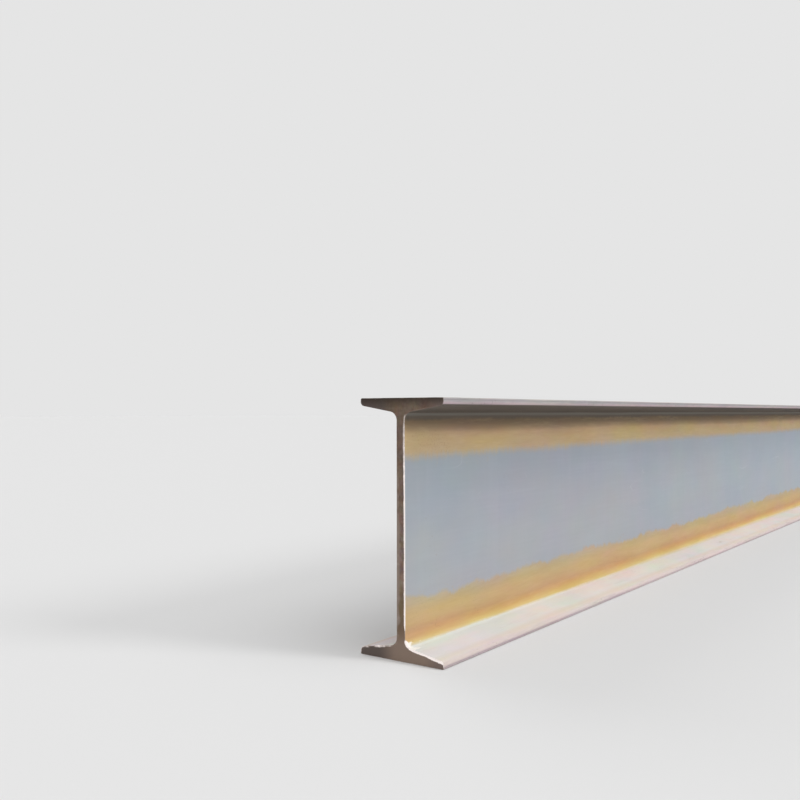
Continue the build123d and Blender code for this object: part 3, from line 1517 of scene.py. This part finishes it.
@dataclass(frozen=True)
class SawnFace:
    """The cut ends: smooth brown-grey with rusty and olive blotches and dark specks of grime, darker at the
    top and the back as painted shade, and lighter at the bottom as painted light.
    """

    plain: Colour = linear(115, 99, 87)
    dark: Colour = linear(93, 78, 68)
    pale: Colour = linear(134, 118, 105)
    rusty: Colour = linear(128, 100, 83)
    olive: Colour = linear(101, 89, 64)
    # Dark specks of grime, and also the painted shade along the top edge.
    grime_and_shade: Colour = linear(50, 41, 34)

    # What the cut is drawn towards along an axis: from where, to where, how much, and the colour.
    DRIFTS = (
        # Painted shade: darker towards the top.
        ("Z", 0.12, 0.28, 0.5, linear(90, 72, 62)),
        ("Z", 0.125, 0.055, 0.8, linear(104, 86, 67)),
        # Painted light: lighter at the bottom, the low end of the same painted gradient.
        ("Z", 0.045, 0.020, 0.8, linear(130, 113, 102)),
        ("Y", -0.035, -0.065, 0.8, linear(106, 92, 88)),
        # Painted shade: darker on the back half.
        ("Y", 0.006, 0.040, 0.8, linear(75, 68, 66)),
        # Painted shade: darkest along the top edge.
        ("Z", 0.343, 0.361, 0.9, grime_and_shade),
    )

    def material(self) -> bpy.types.Material:
        """Builds the finish.

        Returns:
            The material.
        """
        coat = Coat("sawn_face", 0.75)
        coat.feed(coat.shader.inputs["Specular IOR Level"], 0.2)
        mottle = coat.noise(coat.place, 34.0, 4.0, 0.55)
        paint = Paint(coat, coat.ramp(mottle, ((0.34, self.dark), (0.5, self.plain), (0.68, self.pale))))
        stain = coat.noise(coat.at(across=1.6), 19.0, 3.0, 0.5)
        paint.lay(self.rusty, coat.remap(stain, 0.53, 0.66), 0.7)
        paint.lay(self.olive, coat.remap(stain, 0.47, 0.35), 0.7)
        lines = coat.group(Streaks, Vector=coat.at(up=0.06), Size=220.0, Fine_Share=0.5)
        paint.shade(lines, 0.15, self.dark, self.pale)
        paint.shade(coat.noise(coat.place, 170.0, 3.0, 0.6), 0.7, self.dark, self.pale)
        paint.tint(coat.place, 70.0, 0.05)
        paint.lay(self.rusty, coat.group(Freckles, Density=220.0, Clouds=16.0, Cover=0.03), 0.5)
        paint.lay(self.grime_and_shade, coat.group(Freckles, Density=330.0, Clouds=30.0), 0.5)
        for axis, low, high, share, colour in self.DRIFTS:
            paint.lay(colour, coat.remap(coat.axes[axis], low, high), share)
        BurrMetal().over(paint)
        grain = coat.noise(coat.place, 300.0, 4.0, 0.6)
        cut = coat.group(Streaks, Vector=coat.at(up=0.05), Size=300.0, Fine_Share=0.5)
        coat.relief(coat.blend(0.5, grain, cut), 0.3 * MM)
        return coat.material


@dataclass(frozen=True)
class Lamp:
    """A soft lamp far away.

    Attributes:
        name: Of the lamp.
        elevation: Above the horizon, in degrees.
        azimuth: From the front, low Y, towards high X, in degrees.
        strength: In watts per square metre.
        width: Angle that the lamp fills, in degrees.
    """

    name: str
    elevation: float
    azimuth: float
    strength: float
    width: float

    def hang(self) -> None:
        """Adds the lamp, pointed at the beam."""
        up, turn = math.radians(self.elevation), math.radians(self.azimuth)
        towards = Vector((math.sin(turn) * math.cos(up), -math.cos(turn) * math.cos(up), math.sin(up)))
        data = bpy.data.lights.new(self.name, "SUN")
        data.energy = self.strength
        data.angle = math.radians(self.width)
        lamp = bpy.data.objects.new(self.name, data)
        lamp.rotation_euler = towards.to_track_quat("Z", "Y").to_euler()
        lamp.location = towards * 5
        bpy.context.scene.collection.objects.link(lamp)


@dataclass
class Studio:
    """Pale floor, soft light and the photograph's camera.

    Attributes:
        near_toe: The lower flange's front corner at the near cut end.
        height: Of the beam.
    """

    near_toe: Vector
    height: float

    # The camera in beam heights from the near toe, and where it looks, in degrees.
    CAMERA_PLACE = (-2.772, -1.825, 0.944)
    TURN = 36.11
    TILT = 0.78
    ROLL = -0.06
    FOCAL_PIXELS = 903.0
    FRAME_PIXELS = 800
    SENSOR = 36.0
    FLOOR_SPAN = 160.0
    FLOOR_COLOUR = linear(231, 231, 231)
    BACKDROP_COLOUR = linear(229, 229, 229)
    WHITE = (1.0, 1.0, 1.0)
    SKY_LEVEL = 0.40
    LAMPS = (
        Lamp("key_lamp", 28.0, 20.0, 0.97, 18.0),
        Lamp("overhead_lamp", 65.0, 0.0, 0.95, 50.0),
        Lamp("end_lamp", 12.0, -80.0, 1.2, 40.0),
        Lamp("fill_lamp", 40.0, 160.0, 0.45, 40.0),
    )

    def set_up(self) -> None:
        """Adds everything round the beam."""
        self._camera()
        self._floor()
        self._world()
        for lamp in self.LAMPS:
            lamp.hang()
        bpy.context.scene.view_settings.view_transform = "Standard"

    def _camera(self) -> None:
        """Sets the camera where the photograph was taken from."""
        turn, tilt, roll = (math.radians(angle) for angle in (self.TURN, self.TILT, self.ROLL))
        ahead = Vector((math.cos(turn) * math.cos(tilt), math.sin(turn) * math.cos(tilt), math.sin(tilt)))
        right = Vector((math.sin(turn), -math.cos(turn), 0))
        up = right.cross(ahead)
        leaning_right = math.cos(roll) * right + math.sin(roll) * up
        leaning_up = math.cos(roll) * up - math.sin(roll) * right
        data = bpy.data.cameras.new("camera")
        data.sensor_fit = "HORIZONTAL"
        data.sensor_width = self.SENSOR
        data.lens = self.FOCAL_PIXELS / self.FRAME_PIXELS * self.SENSOR
        data.clip_start, data.clip_end = 0.05, 400.0
        camera = bpy.data.objects.new("camera", data)
        turned = Matrix((leaning_right, leaning_up, -ahead)).transposed()
        place = self.near_toe + self.height * Vector(self.CAMERA_PLACE)
        camera.matrix_world = Matrix.Translation(place) @ turned.to_4x4()
        bpy.context.scene.collection.objects.link(camera)
        bpy.context.scene.camera = camera

    def _floor(self) -> None:
        """Lays the pale floor at the beam's underside."""
        bpy.ops.object.select_all(action="DESELECT")
        bpy.ops.mesh.primitive_plane_add(size=self.FLOOR_SPAN, location=(0, 0, self.near_toe.z))
        floor = bpy.context.object
        floor.name = "floor"
        coat = Coat("floor", 0.9)
        coat.feed(coat.shader.inputs["Base Color"], self.FLOOR_COLOUR)
        coat.feed(coat.shader.inputs["Specular IOR Level"], 0.1)
        floor.data.materials.append(coat.material)

    def _world(self) -> None:
        """Lights all round evenly, and shows a pale backdrop."""
        world = bpy.data.worlds.new("studio")
        world.use_nodes = True
        world.node_tree.nodes.clear()
        graph = Graph(world.node_tree)
        light = graph.result("ShaderNodeBackground", {"Color": self.WHITE, "Strength": self.SKY_LEVEL})
        shown = graph.result("ShaderNodeBackground", {"Color": self.BACKDROP_COLOUR})
        seen = graph.result("ShaderNodeLightPath", {}, "Is Camera Ray")
        choice = graph.result("ShaderNodeMixShader", {0: seen, 1: light, 2: shown})
        graph.feed(graph.node("ShaderNodeOutputWorld").inputs["Surface"], choice)
        bpy.context.scene.world = world


def main() -> None:
    """Builds the beam and the studio, and reports each piece."""
    low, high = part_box(NODE)
    section = Section(height=high.z - low.z, width=high.y - low.y)
    beam = RolledBeam(section, high.x - low.x).build()
    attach(beam, BODY)
    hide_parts(NODE)
    log.info("%s: %d faces", beam.name, len(beam.data.polygons))
    Studio(near_toe=Vector((low.x, low.y, low.z)), height=section.height).set_up()


if __name__ == "__main__":
    logging.basicConfig(level=logging.INFO)
    main()
